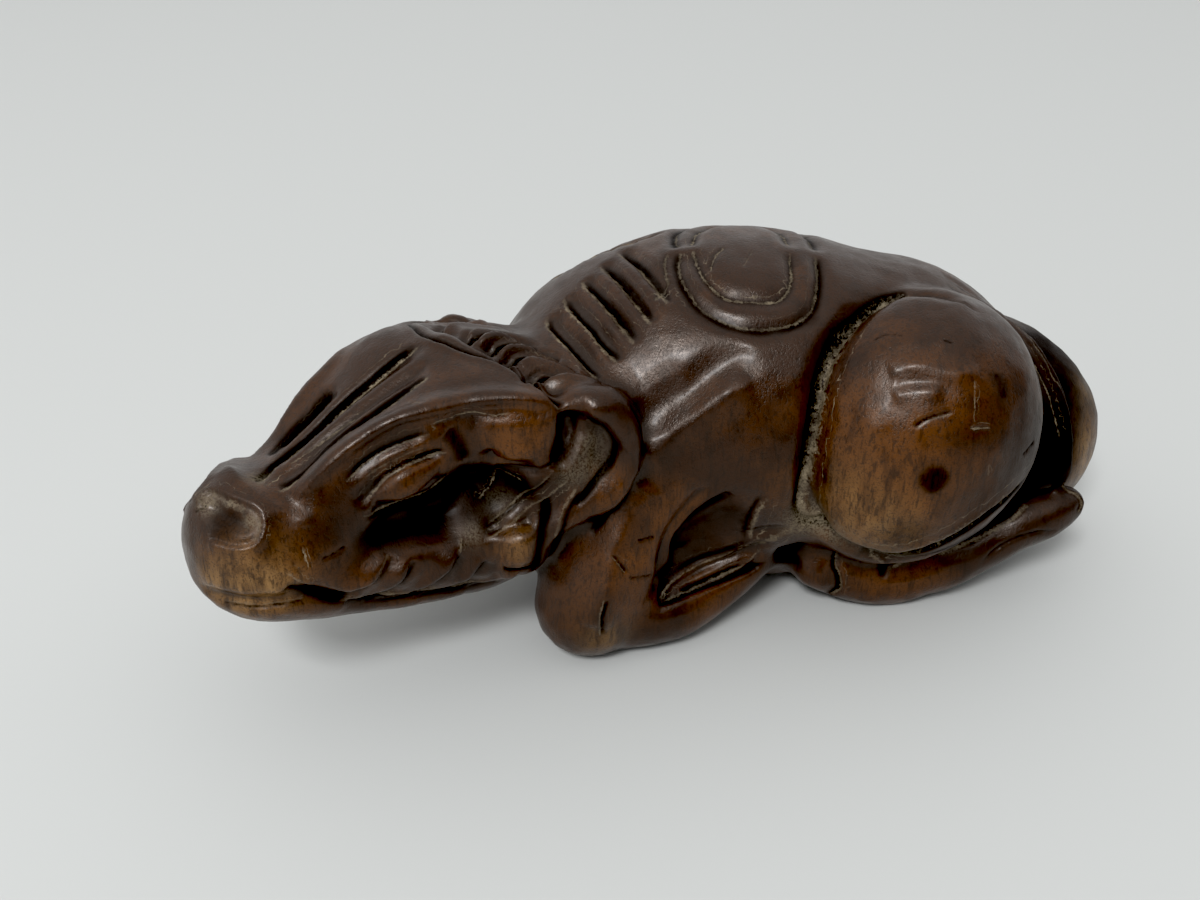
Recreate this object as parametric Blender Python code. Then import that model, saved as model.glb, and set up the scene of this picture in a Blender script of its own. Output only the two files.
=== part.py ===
# A recumbent ox carved from one piece of boxwood: a netsuke, about 60 mm long.
# The forms are laid out in millimetres with the flank along X, the head toward -X and up +Z.
# The finished skin is moved to its bounding box's bottom centre and scaled to metres.
from math import cos, pi, radians, sin

import bmesh
import bpy
import numpy as np
from mathutils import Matrix, Vector
from mathutils.bvhtree import BVHTree

# Driving dimensions, mm
LENGTH = 60.0  # nose to far haunch, over all
BARREL_LENGTH = 31.0
BARREL_WIDTH = 21.0
BACK_HEIGHT = 23.1
HEAD_TURN = 34.0  # degrees from the flank toward the near side
HEAD_DROP = 8.0
HEAD_TILT = 4.0  # near horn higher than the far one
CORD_HOLE = 3.3  # diameter of the two joined cord holes
TORSO_VOXEL = 0.6
SKIN_VOXEL = 0.36
TRIANGLES = 9600

MM = 0.001
POLL = Vector((-6.3, -5.4, 18.3))  # midway between the horn bases
BARREL = Vector((8.1, 0.8, 12.2))
BASE = 0.35  # height of the plane that it rests on
WORN = 0.12  # what stands less than this above that plane is worn level with it
BOXWOOD = (0.16, 0.06, 0.02, 1.0)


def clear_scene():
    for thing in list(bpy.data.objects):
        bpy.data.objects.remove(thing, do_unlink=True)


def head_frame():
    # Axes of the head: u from the poll to the nose, v toward the near side, w up.
    turn, drop, tilt = radians(HEAD_TURN), radians(HEAD_DROP), radians(HEAD_TILT)
    level = Vector((-cos(turn), -sin(turn), 0))
    side = Vector((sin(turn), -cos(turn), 0))
    up = Vector((0, 0, 1))
    u = cos(drop) * level - sin(drop) * up
    crown = cos(drop) * up + sin(drop) * level
    v = cos(tilt) * side + sin(tilt) * crown
    w = cos(tilt) * crown - sin(tilt) * side
    return Matrix((u, v, w)).transposed()


HEAD_AXES = head_frame()


def in_head(u, v, w):
    return POLL + HEAD_AXES @ Vector((u, v, w))


def curve_through(points, count):
    # A smooth curve through a few rows of numbers, read at evenly spaced places.
    rows = np.array([tuple(p) for p in points], dtype=float)
    slopes = np.gradient(rows, axis=0)
    places = np.linspace(0, len(rows) - 1, count)
    left = np.minimum(places.astype(int), len(rows) - 2)
    t = (places - left)[:, None]
    a, b = rows[left], rows[left + 1]
    ma, mb = slopes[left], slopes[left + 1]
    bend = t * t * (3 - 2 * t)
    return a + (b - a) * bend + ma * (t * (1 - t) ** 2) - mb * (t * t * (1 - t))


def egg(bm, centre, radii, turn=0.0, lean=0.0):
    # An ellipsoid, leant about Y and then turned about Z, in degrees.
    spin = Matrix.Rotation(radians(turn), 4, "Z") @ Matrix.Rotation(radians(lean), 4, "Y")
    place = Matrix.Translation(centre) @ spin @ Matrix.Diagonal((*radii, 1.0))
    bmesh.ops.create_uvsphere(bm, u_segments=40, v_segments=24, radius=1.0, matrix=place)


def skin_rings(bm, rings):
    # Bridges rings with equal point counts and closes both ends.
    loops = [[bm.verts.new(point) for point in ring] for ring in rings]
    count = len(loops[0])
    for near, far in zip(loops, loops[1:]):
        for i in range(count):
            j = (i + 1) % count
            bm.faces.new((near[i], near[j], far[j], far[i]))
    bm.faces.new(list(reversed(loops[0])))
    bm.faces.new(loops[-1])


def limb(bm, stations, squash=1.0, sides=20):
    # A round limb through stations of (x, y, z, radius), with ball ends.
    path = curve_through(stations, 6 * len(stations))
    heading = np.gradient(path[:, :3], axis=0)
    rings = []
    for (x, y, z, radius), way in zip(path.tolist(), heading.tolist()):
        along = Vector(way).normalized()
        across = along.cross(Vector((0, 0, 1)))
        across = across.normalized() if across.length > 1e-4 else Vector((0, 1, 0))
        upward = across.cross(along)
        ring = []
        for i in range(sides):
            angle = 2 * pi * i / sides
            offset = radius * (cos(angle) * across + squash * sin(angle) * upward)
            ring.append(Vector((x, y, z)) + offset)
        rings.append(ring)
    skin_rings(bm, rings)
    for x, y, z, radius in (path[0].tolist(), path[-1].tolist()):
        egg(bm, (x, y, z), (radius * 0.98,) * 3)


# Lines along the head, each a list of (u, v, w): the skin is stretched from line to line.
HEAD_LINES = {
    "crown": [(-3, 0, 0), (0, 0, 2.0), (3, 0, 2.7), (7, 0, 1.8), (10, 0, 0.9), (13, 0, -0.2),
              (14.6, 0, -0.4), (16, 0, 0.3), (17.6, 0, 0.2), (18.8, 0, -0.9), (19.6, 0, -2.6)],
    "brow": [(-3, 5, -1), (0, 7.2, 0), (1.5, 6.4, 0.6), (4, 5.1, 1.1), (6.5, 4.4, 1.5), (9, 3.9, 1.2),
             (11.6, 3.4, 0.3), (14.2, 3.0, -1.1), (16, 3.0, -0.6), (17.8, 2.5, -0.9), (19.6, 1.2, -3)],
    "far brow": [(-3, 4, -2), (0, 6.3, -0.8), (2, 5.2, 1.1), (3.6, 4.5, 1.9), (5, 4.1, 2.4), (6.7, 3.8, 2.2),
                 (8, 3.7, 1.5), (10.3, 3.5, 0.3), (13.3, 3.1, -1.2), (16, 3.0, -0.8), (17.8, 2.5, -0.9),
                 (19.6, 1.2, -3)],
    "eye": [(-3, 5, -3), (0, 7.2, -2.8), (2.5, 6.8, -2.8), (4.3, 5.6, -2.2), (7, 5.1, -1.8),
            (9.5, 4.9, -2.3), (12, 4.5, -3), (15, 4.3, -3), (17, 4.0, -3), (18.6, 3.0, -3.3),
            (19.6, 1.7, -3.8)],
    "hollow": [(-3, 4.5, -5), (0, 5.0, -5.5), (3.5, 4.2, -4.6), (6.4, 4.0, -4.9), (9.3, 4.1, -4.6),
               (12, 4.6, -5), (15, 4.8, -4.8), (17, 4.4, -4.8), (18.6, 3.3, -4.8), (19.6, 1.9, -4.8)],
    "cheek": [(-3, 4.5, -8), (0, 5.2, -8.2), (3, 5.8, -7.9), (6, 5.7, -7.8), (9, 5.5, -7.4),
              (12, 5.1, -6.9), (14, 4.8, -7), (16, 4.5, -6.6), (18, 3.6, -6.4), (19.6, 1.7, -5.6)],
    "jaw": [(-3, 3.5, -10.4), (0, 4.0, -11.6), (4.7, 4.2, -11.9), (8.8, 3.9, -10.9), (13.3, 3.2, -9.5),
            (16, 2.8, -8.5), (18, 2.2, -7.6), (19.6, 1.0, -6.2)],
    "under": [(-3, 0, -11.0), (0, 0, -12.2), (5, 0, -12.6), (9, 0, -11.6), (13, 0, -10.4),
              (16, 0, -9.5), (18, 0, -8.2), (19.6, 0, -6.4)],
}


def line_at(name, u):
    # The (v, w) of a head line at one distance from the poll.
    points = np.array(HEAD_LINES[name], dtype=float)
    fine = curve_through(points, 8 * len(points))
    return np.interp(u, fine[:, 0], fine[:, 1]), np.interp(u, fine[:, 0], fine[:, 2])


def add_head(bm):
    near_lines = ["brow", "eye", "hollow", "cheek", "jaw"]
    far_lines = ["jaw", "cheek", "hollow", "eye", "far brow"]
    rings = []
    for u in np.linspace(HEAD_LINES["crown"][0][0], HEAD_LINES["crown"][-1][0], 34):
        near = [line_at(name, u) for name in near_lines]
        far = [(-v, w) for v, w in (line_at(name, u) for name in far_lines)]
        ring = [line_at("crown", u), *near, line_at("under", u), *far]
        closed = curve_through([*ring, ring[0]], 57)[:-1]
        rings.append([in_head(u, v, w) for v, w in closed.tolist()])
    skin_rings(bm, rings)
    egg(bm, in_head(18.4, 0, -4.4), (1.5, 2.4, 2.6), turn=HEAD_TURN)


def add_torso(bm):
    egg(bm, BARREL, (BARREL_LENGTH / 2, BARREL_WIDTH / 2, BACK_HEIGHT - BARREL.z))
    egg(bm, (0.5, -1.0, 10.5), (8.5, 9.3, 8.8))
    egg(bm, (17.1, 1.2, 11.7), (10.2, 8.9, 9.55))
    egg(bm, (-2.0, -2.5, 7.5), (6.5, 6.5, 6.0))
    egg(bm, (8.1, 1.0, 5.4), (12.5, 7.5, 6.2))
    limb(bm, [(3, -1, 12, 8.0), (-1.5, -3.5, 12.2, 7.0), (-5.5, -5.5, 12.6, 6.2)])
    limb(bm, [(5.0, -3.6, 14.5, 5.2), (3.0, -5.8, 11, 4.6), (1.0, -7.8, 7.5, 3.8)])
    limb(bm, [(5.5, 5.5, 14, 4.8), (3.5, 6.8, 10, 4.2), (2.0, 8.0, 6.5, 3.6)])


def add_haunches(bm):
    egg(bm, (18.3, -4.3, 12.8), (7.9, 7.4, 8.9), lean=20)
    egg(bm, (15.8, -6.4, 10.8), (4.2, 4.2, 4.0))
    egg(bm, (24.6, 4.9, 7.8), (9.3, 6.0, 7.9), turn=-12, lean=14)
    egg(bm, (21.3, 3.6, 11.2), (8.2, 5.6, 6.4), lean=32)


def add_tail(bm):
    limb(bm, [(19.5, 0.8, 20.0, 0.5), (23, -0.3, 18.7, 0.9), (26, -1.4, 16.3, 1.0), (28.2, -2.4, 12.5, 1.0),
              (29, -3.0, 8.8, 0.9)])


def add_forelegs(bm):
    limb(bm, [(2.0, -6.6, 10, 4.0), (0.2, -8.6, 6.0, 3.7), (-0.7, -9.5, 3.5, 3.4)])
    limb(bm, [(-0.2, -9.4, 2.9, 2.7), (4.0, -8.9, 2.6, 2.2), (6.9, -7.3, 3.3, 2.0), (9.8, -5.7, 5.0, 1.8)])
    egg(bm, (10.9, -5.3, 5.0), (1.5, 1.6, 1.7))
    limb(bm, [(3.2, -7.4, 4.8, 1.0), (7, -6.4, 6.4, 1.1), (11, -5.4, 7.4, 0.9)])
    limb(bm, [(2.5, 7.8, 9, 4.0), (1.6, 8.6, 5.5, 3.6), (1.2, 8.8, 3.4, 3.3)])
    limb(bm, [(1.4, 8.6, 2.7, 2.6), (6.5, 7.4, 2.4, 2.2), (11.0, 6.4, 2.8, 1.9)])


def add_hind_feet(bm):
    limb(bm, [(13.9, -5.3, 3.2, 1.7), (17.8, -4.9, 2.2, 2.2), (22.2, -4.4, 3.0, 2.05),
              (26.1, -3.8, 4.9, 1.75), (28.7, -3.3, 5.75, 1.6), (29.9, -2.9, 6.2, 1.3)])
    limb(bm, [(14.0, 6.8, 2.2, 2.0), (19.0, 7.4, 2.2, 2.2), (25.0, 7.4, 3.0, 2.1), (30.5, 5.6, 4.2, 1.9)])


def add_ear(bm, side, drop):
    # A cupped ear with a rolled rim, laid back behind the horn.
    egg(bm, in_head(-0.4, side * 6.0, -4.2 - drop), (3.0, 2.2, 3.4), turn=HEAD_TURN)
    rim = [(-0.9, 6.8, -0.8, 0.9), (-2.2, 7.7, -0.7, 1.0), (-3.2, 8.2, -2.0, 1.0), (-3.3, 8.2, -4.0, 1.0),
           (-2.4, 7.8, -5.8, 1.0), (-0.6, 7.3, -7.0, 0.9), (1.6, 6.7, -7.6, 0.8), (3.0, 6.2, -7.9, 0.7)]
    limb(bm, [(*in_head(u, side * v, w - drop), radius) for u, v, w, radius in rim])


def add_jaw_angle(bm):
    for side in (1, -1):
        egg(bm, in_head(3.2, side * 5.4, -8.6), (2.3, 1.6, 2.4), turn=HEAD_TURN)


def add_mane(bm):
    # Overlapping locks lie behind the poll, from the far horn to the near ear. The first is the shortest.
    for i in range(6):
        v = -6.1 + 2.3 * i
        ahead, fall = (0.8, 1.4) if i == 0 else (0, 0)
        front = in_head(ahead - 0.3, v, -0.9)
        middle = in_head(ahead - 1.6, v + 0.3, -1.0)
        back = in_head(ahead - 3.8, v + 1.2, -2.2 - fall)
        limb(bm, [(*front, 1.0), (*middle, 1.2), (*back, 1.0)])


def as_object(name, bm):
    bmesh.ops.recalc_face_normals(bm, faces=bm.faces[:])
    mesh = bpy.data.meshes.new(name)
    bm.to_mesh(mesh)
    bm.free()
    thing = bpy.data.objects.new(name, mesh)
    bpy.context.scene.collection.objects.link(thing)
    return thing


def apply_modifiers(thing):
    bpy.context.view_layer.update()
    graph = bpy.context.evaluated_depsgraph_get()
    made = bpy.data.meshes.new_from_object(thing.evaluated_get(graph))
    thing.modifiers.clear()
    old = thing.data
    thing.data = made
    bpy.data.meshes.remove(old)


def fuse(thing, voxel):
    # One closed skin round everything that overlaps.
    step = thing.modifiers.new("fuse", "REMESH")
    step.mode = "VOXEL"
    step.voxel_size = voxel
    apply_modifiers(thing)


def read_skin(mesh):
    points = np.empty(len(mesh.vertices) * 3)
    mesh.vertices.foreach_get("co", points)
    edges = np.empty(len(mesh.edges) * 2, dtype=np.int32)
    mesh.edges.foreach_get("vertices", edges)
    return points.reshape(-1, 3), edges.reshape(-1, 2)


def write_skin(mesh, points):
    mesh.vertices.foreach_set("co", points.astype(np.float32).ravel())
    mesh.update()


def relax(points, edges, rounds, weight=0.5):
    # Each point moves toward the mean of its neighbours.
    count = len(points)
    valence = np.bincount(edges.ravel(), minlength=count)[:, None]
    for _ in range(rounds):
        total = np.empty_like(points)
        for axis in range(3):
            total[:, axis] = np.bincount(edges[:, 0], points[edges[:, 1], axis], count)
            total[:, axis] += np.bincount(edges[:, 1], points[edges[:, 0], axis], count)
        points = points + weight * (total / valence - points)
    return points


def smooth_skin(thing, rounds):
    points, edges = read_skin(thing.data)
    write_skin(thing.data, relax(points, edges, rounds))


def steady(rows, rounds):
    # Evens out a row of values with its neighbours, ends held.
    for _ in range(rounds):
        middle = (rows[:-2] + 2 * rows[1:-1] + rows[2:]) / 4
        rows = np.concatenate((rows[:1], middle, rows[-1:]))
    return rows


class Skin:
    # The surface under the chisel. Places given for a cut are first drawn onto it.
    def __init__(self, thing):
        self.mesh = thing.data
        self.points, self.edges = read_skin(self.mesh)
        self.tree = BVHTree.FromObject(thing, bpy.context.evaluated_depsgraph_get())

    def settle(self, place):
        # The nearest place on the skin and the way out of it.
        spot, way, _, _ = self.tree.find_nearest(Vector(place))
        return np.array(spot), np.array(way)

    def push(self, near, amount, way):
        self.points[near] += amount[:, None] * way

    def cut(self, path, width, depth, fade=0.15):
        # A groove along a path, or a ridge where depth is negative, fading at both ends.
        rows = np.array([tuple(place) for place in path], dtype=float)
        length = np.linalg.norm(np.diff(rows, axis=0), axis=1).sum()
        line = curve_through(rows, max(12, int(3 * length / width)))
        settled = [self.settle(place) for place in line]
        spots = steady(np.array([spot for spot, _ in settled]), 8)
        ways = steady(np.array([way for _, way in settled]), 30)
        ways /= np.linalg.norm(ways, axis=1)[:, None]
        low, high = spots.min(axis=0) - 3 * width, spots.max(axis=0) + 3 * width
        near = np.flatnonzero(((self.points > low) & (self.points < high)).all(axis=1))
        gaps = np.linalg.norm(self.points[near, None, :] - spots[None], axis=2)
        closest = gaps.argmin(axis=1)
        along = closest / (len(spots) - 1)
        ends = np.clip(np.minimum(along, 1 - along) / max(fade, 1e-6), 0, 1) ** 0.5
        depths = depth * ends * np.exp(-((gaps.min(axis=1) / width) ** 2))
        self.push(near, -depths, ways[closest])

    def dent(self, place, radius, depth):
        # A rounded hollow, or a swelling where depth is negative.
        spot, way = self.settle(place)
        gaps = np.linalg.norm(self.points - spot, axis=1)
        near = np.flatnonzero(gaps < 3 * radius)
        self.push(near, -depth * np.exp(-((gaps[near] / radius) ** 2)), way)

    def done(self):
        write_skin(self.mesh, self.points)


# The strap's outer and inner edge, each from the spine round and back to it.
STRAP = (
    [(4.6, 0.4, 22.7), (4.5, 1.6, 22.2), (4.8, 3.3, 21.7), (5.9, 5.0, 21.0), (8.2, 5.9, 20.3),
     (10.6, 5.7, 20.4), (12.1, 4.7, 20.8), (12.7, 2.7, 21.6), (12.9, 0.4, 22.5)],
    [(5.4, 0.4, 22.9), (5.7, 1.6, 22.2), (6.1, 2.9, 21.8), (7.1, 4.0, 21.2), (8.6, 4.3, 21.2),
     (10.2, 4.1, 21.2), (11.0, 2.9, 21.7), (11.2, 0.4, 22.6)],
)


def carve_flanks(skin):
    # Five slanting rib gouges and a U-shaped strap on each side of the spine.
    for side in (-1, 1):
        for i in range(5):
            over_spine = 2.2 - 1.0 * i if side < 0 else 2.8
            top = (-3.2 + 1.15 * i, side * over_spine, 20 + 0.5 * i)
            foot = (0.1 + 1.03 * i, side * (7.0 - 0.78 * i), 18.2 + 0.6 * i)
            middle = [(a + b) / 2 for a, b in zip(top, foot)]
            skin.cut([top, middle, foot], 0.42, 0.5, fade=0.25)
        for outline in STRAP:
            skin.cut([(x, side * y, z) for x, y, z in outline], 0.42, 0.38, fade=0.05)


def carve_haunch(skin):
    crease = [(20.5, -4.4, 20.6), (17.2, -2.8, 20.8), (13.9, -4.9, 19.5), (12.7, -6.6, 17.9),
              (12.2, -8.2, 15.7), (12.0, -9.2, 12.4), (12.2, -9.5, 10), (13.3, -9.4, 8), (16.4, -9.4, 6.2),
              (19.5, -8.9, 6.2), (22.5, -8.0, 7.6), (25.2, -7.2, 9.6)]
    skin.cut(crease, 0.7, 0.8)


def carve_side_of_face(skin, side):
    def at(u, v, w):
        return in_head(u, side * v, w)

    def groove(places, width, depth, fade=0.15):
        skin.cut([at(*place) for place in places], width, depth, fade)

    hollows = (((9.6, 4.4, -4.4), 1.1, 0.6), ((7.2, 4.3, -4.9), 1.3, 0.9), ((4.6, 4.7, -4.5), 1.3, 1.0),
               ((15.2, 4.9, -6.2), 0.9, 0.6), ((17.5, 2.3, -0.9), 1.0, 0.5))
    for place, radius, depth in hollows:
        skin.dent(at(*place), radius, depth)
    skin.dent(at(8.5, 4.9, -1.9), 1.3, -0.5)
    groove([(11.2, 4.5, -2.2), (10.4, 4.6, -1.6), (8.5, 4.9, -0.8), (6.0, 5.3, -1.1)], 0.42, 0.5)
    groove([(10.8, 4.7, -2.7), (8.5, 4.7, -3.1), (6.4, 4.9, -2.7)], 0.42, 0.5)
    groove([(11.2, 4.1, -0.6), (8.7, 4.5, 0.3), (6.7, 4.9, 0.4)], 0.4, 0.3)
    groove([(14.0, 3.0, -1.0), (8.8, 4.1, 1.3), (4, 5.1, 1.1), (0.4, 7, 0.1)], 0.6, -0.4)
    groove([(18.5, 1.0, 0.3), (17.6, 2.4, -0.2), (16.6, 3.6, -1.4)], 0.5, 0.5)
    groove([(19.5, 1.0, -5.0), (18.4, 3.3, -5.3), (16.2, 4.6, -5.8), (14.2, 4.9, -6.6), (13.4, 4.8, -7.8)],
           0.45, 0.6)
    groove([(13.6, 4.7, -7.8), (10.6, 4.8, -9.0), (8, 4.8, -9.9), (5, 4.9, -10.8)], 0.5, 0.6)
    for i in range(4):
        foot = (12.6 - 2.5 * i, 4.8, -8.2 - 0.7 * i)
        top = (10.6 - 2.1 * i, 5.2 + 0.3 * i, -7.0 - 0.2 * i)
        middle = tuple((a + b) / 2 for a, b in zip(foot, top))
        groove([foot, middle, top], 0.45, 0.45, fade=0.4)
    groove([(4.0, 5.6, -1.6), (3.4, 6.0, -2.8), (2.5, 6.5, -3.3), (1.2, 7, -3.6)], 0.5, 0.6)
    groove([(-0.4, 7.6, -0.5), (-0.5, 7.6, -1.6), (0.0, 7.4, -2.7), (1.0, 7.0, -3.8)], 0.65, 1.1)
    skin.dent(at(-1.5, 8.0, -3.7), 1.4, 0.45)
    skin.dent(at(0.8, 7.2, -5.0), 1.2, 0.6)
    groove([(5.2, 5.4, -6.4), (3.8, 6.2, -7.0), (2.4, 6.6, -6.6)], 0.5, 0.6)


def carve_brow(skin):
    # Long grooves run down the nose, and one parts the poll from the mane.
    for v, start, end in ((0, 13.8, 3.8), (1.6, 14.2, 4.4), (-1.6, 13.0, 9.0)):
        skin.cut([in_head(start, v, 0), in_head((start + end) / 2, v, 1), in_head(end, v, 2)], 0.45, 0.45)
    skin.cut([in_head(2.4, -3.4, 1.2), in_head(1.6, 0, 1.9), in_head(0.6, 2.6, 1.2), in_head(-0.2, 5.2, 0.3),
              in_head(-0.6, 6.8, -0.3)], 0.5, 0.6)


def carve_legs(skin):
    for place, radius, depth in (((7.1, -9.3, 9.0), 2.4, 0.9), ((5.6, -9.2, 7.4), 1.6, 0.7),
                                 ((11.9, -6.8, 5.3), 0.8, 1.0)):
        skin.dent(place, radius, depth)
    skin.cut([(2.5, -9.9, 12.7), (0.8, -11.3, 9.1), (0.6, -12.2, 6.3), (-0.2, -12.6, 4.0)], 1.1, -0.4)
    skin.cut([(6.2, -9.4, 12), (4.1, -10, 8.8), (3.6, -10, 6.2), (3.3, -10.2, 4.0)], 0.5, 0.6)
    skin.cut([(3.3, -10.2, 4.0), (6.8, -8.4, 4.3), (9.8, -7.2, 5.0)], 0.32, 0.5)
    skin.cut([(3.6, -9.8, 4.6), (6.8, -7.9, 5.2), (10.6, -8.0, 6.9)], 0.3, 0.35)
    skin.cut([(3.4, -10, 4.6), (4.6, -8.8, 6.0), (7.0, -8.0, 7.2), (11.2, -8.6, 8.4)], 0.4, 0.5)
    skin.cut([(9.3, -9.4, 11.6), (8.8, -8.7, 8.2)], 0.3, 0.35, fade=0.3)
    skin.cut([(14.2, -7.6, 4.6), (14.7, -7.4, 2.6), (14.4, -6.6, 0.8)], 0.28, 0.45, fade=0.3)


def carve_shoulder(skin):
    # A soft edge runs from the shoulder back toward the haunch, with a shallow trough above it.
    edge = [(2.4, -9.6, 13.4), (3.5, -9.0, 14.9), (5.1, -8.7, 16), (6.7, -8.3, 17.2), (8.4, -7.8, 18)]
    trough = [(x + 0.2, y + 1.4, z + 1.4) for x, y, z in edge]
    skin.cut(edge, 1.0, -0.35)
    skin.cut(trough, 1.0, 0.3)


def carve_tail(skin):
    for shift in (-0.5, 0.5):
        strands = [(21, 1.0 + shift, 20.6), (24.2, -0.6 + shift, 19), (27, -1.8 + shift, 15.6),
                   (28.8, -2.6 + shift, 11.5)]
        skin.cut(strands, 0.3, 0.3)


def drill_cord_holes(body):
    # Two holes in the underside meet inside, for the cord.
    tube = bmesh.new()
    bend = [(3.6, -1.5), (4.6, 3.4), (8.1, 5.6), (11.6, 3.4), (12.6, -1.5)]
    limb(tube, [(x, 1.0, z, CORD_HOLE / 2) for x, z in bend])
    drill = as_object("drill", tube)
    cut = body.modifiers.new("drill", "BOOLEAN")
    cut.operation = "DIFFERENCE"
    cut.object = drill
    cut.solver = "EXACT"
    cut.use_self = True
    apply_modifiers(body)
    bpy.data.objects.remove(drill, do_unlink=True)


def build_ox():
    torso = bmesh.new()
    add_torso(torso)
    body = as_object("ox_netsuke", torso)
    fuse(body, TORSO_VOXEL)
    smooth_skin(body, 24)
    parts = bmesh.new()
    add_haunches(parts)
    add_tail(parts)
    add_forelegs(parts)
    add_hind_feet(parts)
    add_head(parts)
    add_ear(parts, side=1, drop=0.0)
    add_ear(parts, side=-1, drop=1.7)
    add_jaw_angle(parts)
    add_mane(parts)
    parts.from_mesh(body.data)
    bpy.data.objects.remove(body, do_unlink=True)
    body = as_object("ox_netsuke", parts)
    fuse(body, SKIN_VOXEL)
    drill_cord_holes(body)
    fuse(body, SKIN_VOXEL)
    smooth_skin(body, 3)
    return body


def carve(body):
    skin = Skin(body)
    carve_flanks(skin)
    carve_haunch(skin)
    for side in (1, -1):
        carve_side_of_face(skin, side)
    carve_brow(skin)
    carve_legs(skin)
    carve_shoulder(skin)
    carve_tail(skin)
    skin.done()


def rest_flat(body):
    # The lowest parts are worn to one level plane.
    points, _ = read_skin(body.data)
    points[points[:, 2] < BASE + WORN, 2] = BASE
    write_skin(body.data, points)


def thin_out(body):
    triangles = sum(len(face.vertices) - 2 for face in body.data.polygons)
    step = body.modifiers.new("thin", "DECIMATE")
    step.ratio = TRIANGLES / triangles
    step.use_collapse_triangulate = True
    apply_modifiers(body)


def settle_in_metres(body):
    # The box's bottom centre becomes the origin, and the length becomes LENGTH.
    points, _ = read_skin(body.data)
    low, high = points.min(axis=0), points.max(axis=0)
    scale = MM * LENGTH / (high[0] - low[0])
    centre = np.array([(low[0] + high[0]) / 2, (low[1] + high[1]) / 2, low[2]])
    write_skin(body.data, (points - centre) * scale)


def main():
    clear_scene()
    body = build_ox()
    carve(body)
    rest_flat(body)
    thin_out(body)
    rest_flat(body)
    settle_in_metres(body)
    body.data.shade_smooth()
    wood = bpy.data.materials.new("boxwood")
    wood.use_nodes = True
    shader = wood.node_tree.nodes["Principled BSDF"]
    shader.inputs["Base Color"].default_value = BOXWOOD
    shader.inputs["Roughness"].default_value = 0.3
    body.data.materials.clear()
    body.data.materials.append(wood)


main()
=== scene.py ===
from math import cos, pi, radians, sin, tan

import bpy
import numpy as np
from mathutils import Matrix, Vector
from mathutils.bvhtree import BVHTree


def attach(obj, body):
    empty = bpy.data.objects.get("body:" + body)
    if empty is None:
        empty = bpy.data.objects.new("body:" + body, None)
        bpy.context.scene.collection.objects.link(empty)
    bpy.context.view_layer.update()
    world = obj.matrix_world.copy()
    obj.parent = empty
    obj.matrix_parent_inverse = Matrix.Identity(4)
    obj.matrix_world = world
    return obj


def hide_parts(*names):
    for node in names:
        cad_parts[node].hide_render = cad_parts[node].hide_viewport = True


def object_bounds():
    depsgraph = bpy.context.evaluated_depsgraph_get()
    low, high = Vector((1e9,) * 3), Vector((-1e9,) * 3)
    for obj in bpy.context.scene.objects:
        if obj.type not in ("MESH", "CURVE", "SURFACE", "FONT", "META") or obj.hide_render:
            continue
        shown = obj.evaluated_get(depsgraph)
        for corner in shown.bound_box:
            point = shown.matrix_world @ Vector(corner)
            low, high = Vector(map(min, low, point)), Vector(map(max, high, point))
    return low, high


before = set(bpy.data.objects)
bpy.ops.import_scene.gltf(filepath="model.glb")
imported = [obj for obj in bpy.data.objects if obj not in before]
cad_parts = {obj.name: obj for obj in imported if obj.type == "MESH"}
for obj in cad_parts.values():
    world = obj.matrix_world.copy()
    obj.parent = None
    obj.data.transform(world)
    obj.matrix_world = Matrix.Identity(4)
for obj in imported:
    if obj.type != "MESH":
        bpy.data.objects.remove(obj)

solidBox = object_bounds()
solidNode = "ox_netsuke"

# Carver's marks are millimetres in the layout the ox was drawn in: x toward the rump, y away from the
# turned face, z up. The solid's own box ties them to the frame.
marks = {
    "length": 56.35,  # nose to far haunch
    "centre": (5.46, -3.14, 0.35),  # bottom centre of the box
    "poll": (-6.3, -5.4, 18.3),  # midway between the horn stumps
    "headTurn": 34.0,  # degrees, as are the next two
    "headDrop": 8.0,
    "headTilt": 4.0,
}
farOff = 9.0  # what counts as no dust line near, in half widths of the line
markSize = (solidBox[1].x - solidBox[0].x) / marks["length"]
markCentre = np.array(marks["centre"])


def toFrame(places):  # marks to metres
    return (np.asarray(places, dtype=float) - markCentre) * markSize


def toMarks(places):  # metres to marks
    return np.asarray(places, dtype=float) / markSize + markCentre


def headAxes():  # u from poll to nose, v toward the seen side, w up, as the columns of a matrix
    turn, drop, tilt = (radians(marks[name]) for name in ("headTurn", "headDrop", "headTilt"))
    level = np.array((-cos(turn), -sin(turn), 0.0))
    side = np.array((sin(turn), -cos(turn), 0.0))
    up = np.array((0.0, 0.0, 1.0))
    u = cos(drop) * level - sin(drop) * up
    crown = cos(drop) * up + sin(drop) * level
    v = cos(tilt) * side + sin(tilt) * crown
    w = cos(tilt) * crown - sin(tilt) * side
    return np.array((u, v, w)).T


headFrame = headAxes()


def onHead(*places, side=1):  # head coordinates to marks; side -1 is the far cheek
    return [np.array(marks["poll"]) + headFrame @ np.array((u, side * v, w)) for u, v, w in places]


def readPoints(mesh):
    flat = np.empty(len(mesh.vertices) * 3, dtype=np.float32)
    mesh.vertices.foreach_get("co", flat)
    return flat.reshape(-1, 3).astype(float)


def readNormals(mesh):
    flat = np.empty(len(mesh.vertices) * 3, dtype=np.float32)
    mesh.vertex_normals.foreach_get("vector", flat)
    return flat.reshape(-1, 3).astype(float)


def writePoints(mesh, points):
    mesh.vertices.foreach_set("co", points.astype(np.float32).ravel())
    mesh.update()


def readEdges(mesh):
    flat = np.empty(len(mesh.edges) * 2, dtype=np.int32)
    mesh.edges.foreach_get("vertices", flat)
    return flat.reshape(-1, 2)


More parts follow.
